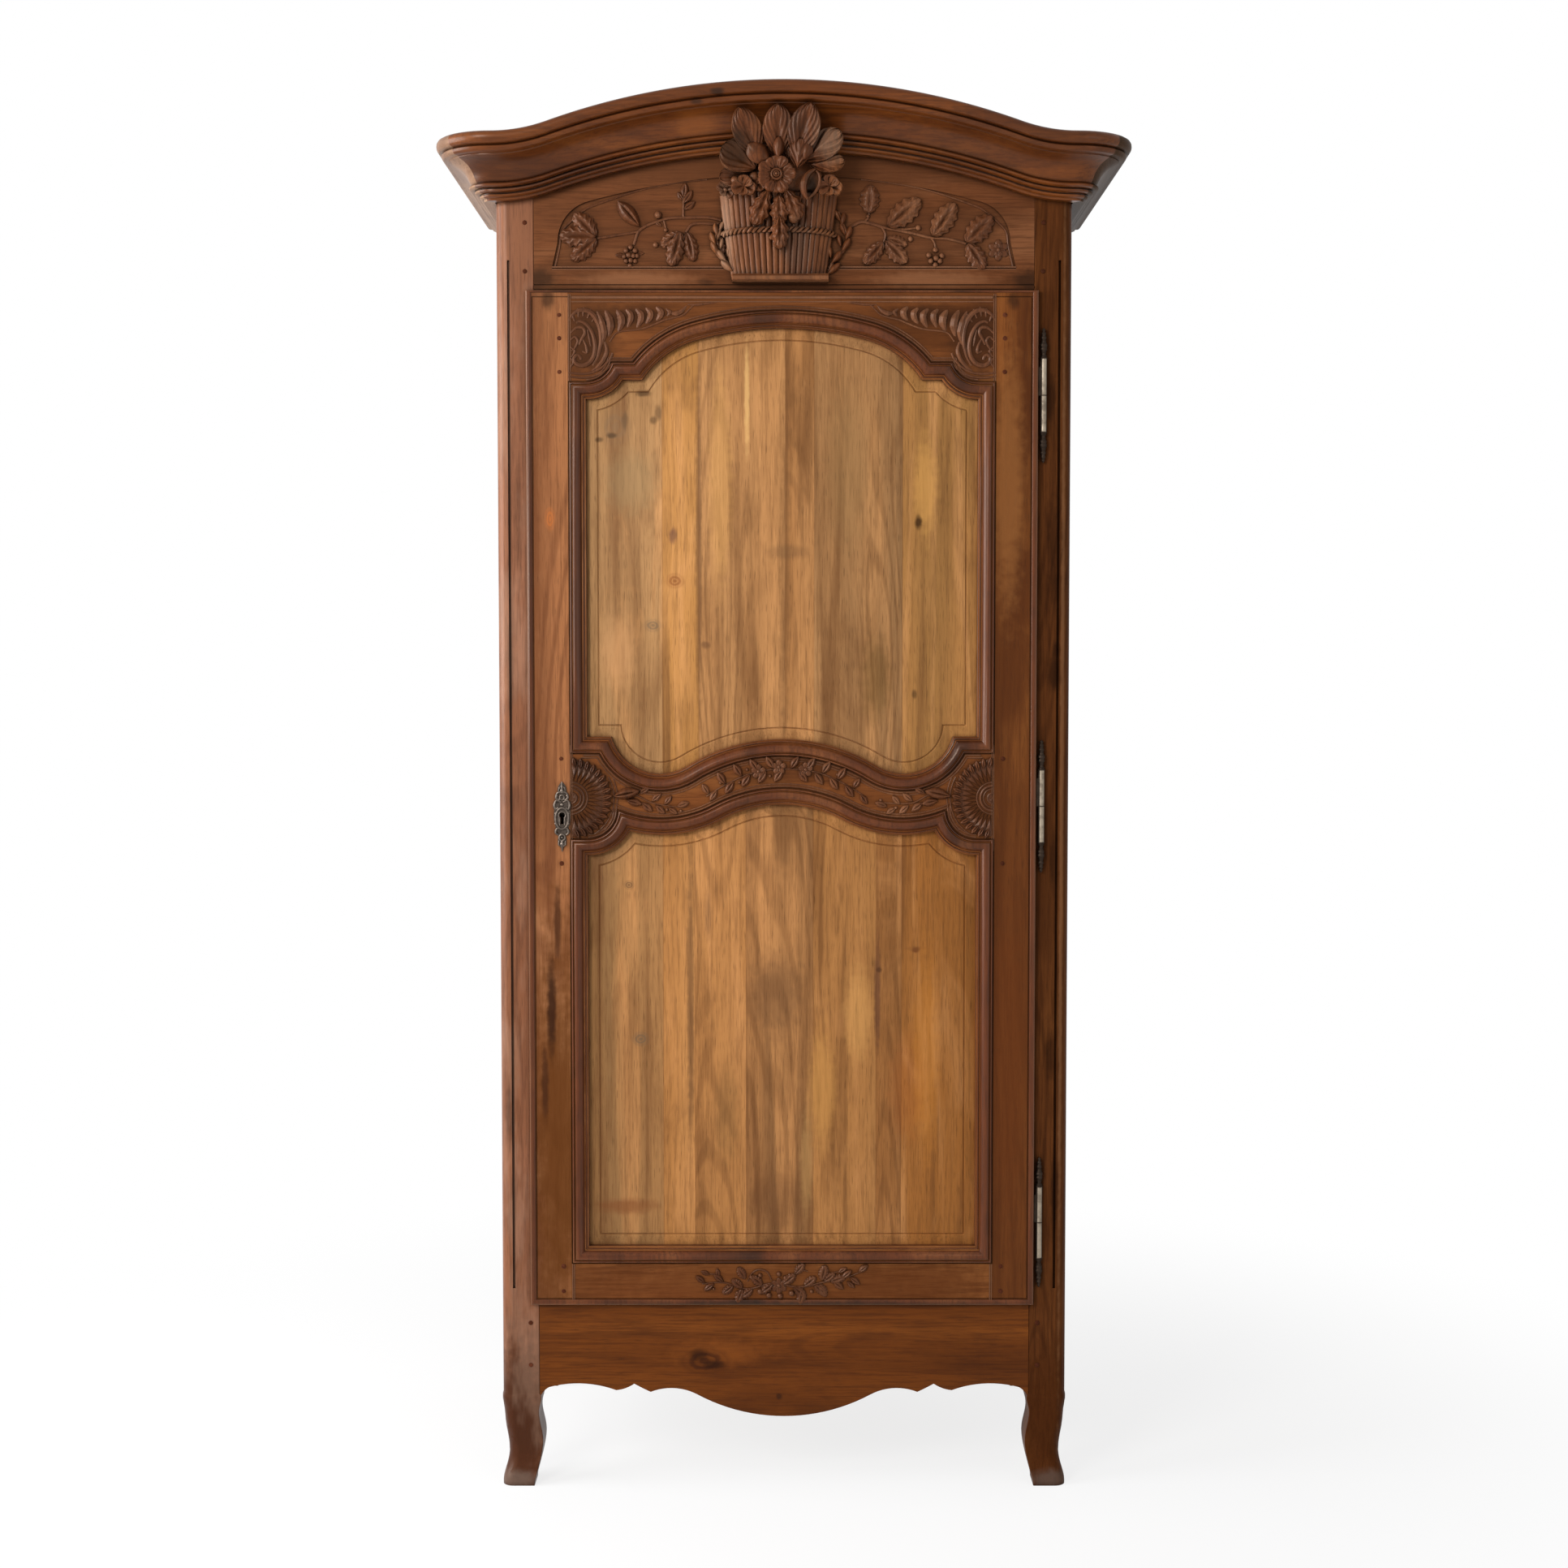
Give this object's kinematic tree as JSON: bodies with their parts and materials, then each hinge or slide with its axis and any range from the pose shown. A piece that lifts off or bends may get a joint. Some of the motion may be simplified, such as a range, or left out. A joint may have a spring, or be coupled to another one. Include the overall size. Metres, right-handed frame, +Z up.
{
  "type": "wardrobe",
  "caption": "Tall frame-and-panel wardrobe with one locking door hung on lift-off hinges, a carved frieze and an arched cornice, on short scrolled legs.",
  "frame": {"origin": "on the floor, under the middle of the overall box", "axes": "+X to the right of someone facing the door, the door faces -Y, +Z is up"},
  "size_m": [1.08, 0.64, 2.2],
  "materials": {
    "frame_wood": "waxed reddish-brown cherry, softly worn",
    "door_wood": "waxed reddish-brown cherry, softly worn",
    "carved_wood": "darker waxed carving with wax in the hollows",
    "panel_wood": "lighter honey-coloured cherry, upright grain, waxed",
    "side_panel_wood": "waxed cherry, upright grain",
    "back_wood": "plain sawn oak, unfinished",
    "inner_wood": "planed oak, dry",
    "peg_wood": "end grain, dark",
    "hinge_steel": "worn bright steel, dulled at the finials",
    "spring_steel": "dark spring steel",
    "fitting_iron": "wrought iron, waxed"
  },
  "bodies": {
    "carcass": {"apron": "frame_wood", "back_board_1": "back_wood", "back_board_2": "back_wood", "back_board_3": "back_wood", "back_board_4": "back_wood", "back_board_5": "back_wood", "back_rail_bottom": "back_wood", "back_rail_middle": "back_wood", "back_rail_top": "back_wood", "basket_carving": "carved_wood", "cornice_front": "frame_wood", "cornice_return_left": "frame_wood", "cornice_return_right": "frame_wood", "floor_batten_left": "inner_wood", "floor_batten_right": "inner_wood", "floor_board_1": "inner_wood", "floor_board_2": "inner_wood", "floor_board_3": "inner_wood", "frame_pegs": "peg_wood", "frieze_board": "frame_wood", "hanging_rail": "inner_wood", "hat_shelf": "inner_wood", "hinge_post_halves": "hinge_steel", "lock_keep": "fitting_iron", "post_front_left": "frame_wood", "post_front_right": "frame_wood", "post_rear_left": "frame_wood", "post_rear_right": "frame_wood", "rail_block_left": "inner_wood", "rail_block_right": "inner_wood", "roof_board_1": "back_wood", "roof_board_2": "back_wood", "roof_board_3": "back_wood", "shelf_cleat_left": "inner_wood", "shelf_cleat_right": "inner_wood", "side_panel_lower_left": "side_panel_wood", "side_panel_lower_right": "side_panel_wood", "side_panel_upper_left": "side_panel_wood", "side_panel_upper_right": "side_panel_wood", "side_rail_bottom_left": "frame_wood", "side_rail_bottom_right": "frame_wood", "side_rail_middle_left": "frame_wood", "side_rail_middle_right": "frame_wood", "side_rail_top_left": "frame_wood", "side_rail_top_right": "frame_wood"},
    "door": {"hinge_stile": "door_wood", "lock_stile": "door_wood", "door_rail_bottom": "door_wood", "door_rail_middle": "door_wood", "door_rail_top": "door_wood", "door_panel_upper": "panel_wood", "door_panel_lower": "panel_wood", "hinge_door_halves": "hinge_steel", "lock_case": "fitting_iron", "lock_screws": "fitting_iron", "escutcheon": "fitting_iron", "door_pegs": "peg_wood"},
    "bolt": {"lock_bolt": "fitting_iron", "bolt_spring": "spring_steel"}
  },
  "joints": [
    {"name": "door_hinge", "type": "hinge", "parent": "carcass", "child": "door", "pos_m": [0.405, -0.2355, 0], "axis": [0, 0, 1], "range_deg": [0, 170]},
    {"name": "bolt_slide", "type": "slide", "parent": "door", "child": "bolt", "axis": [-1, 0, 0], "range_m": [0, 0.012]}
  ]
}
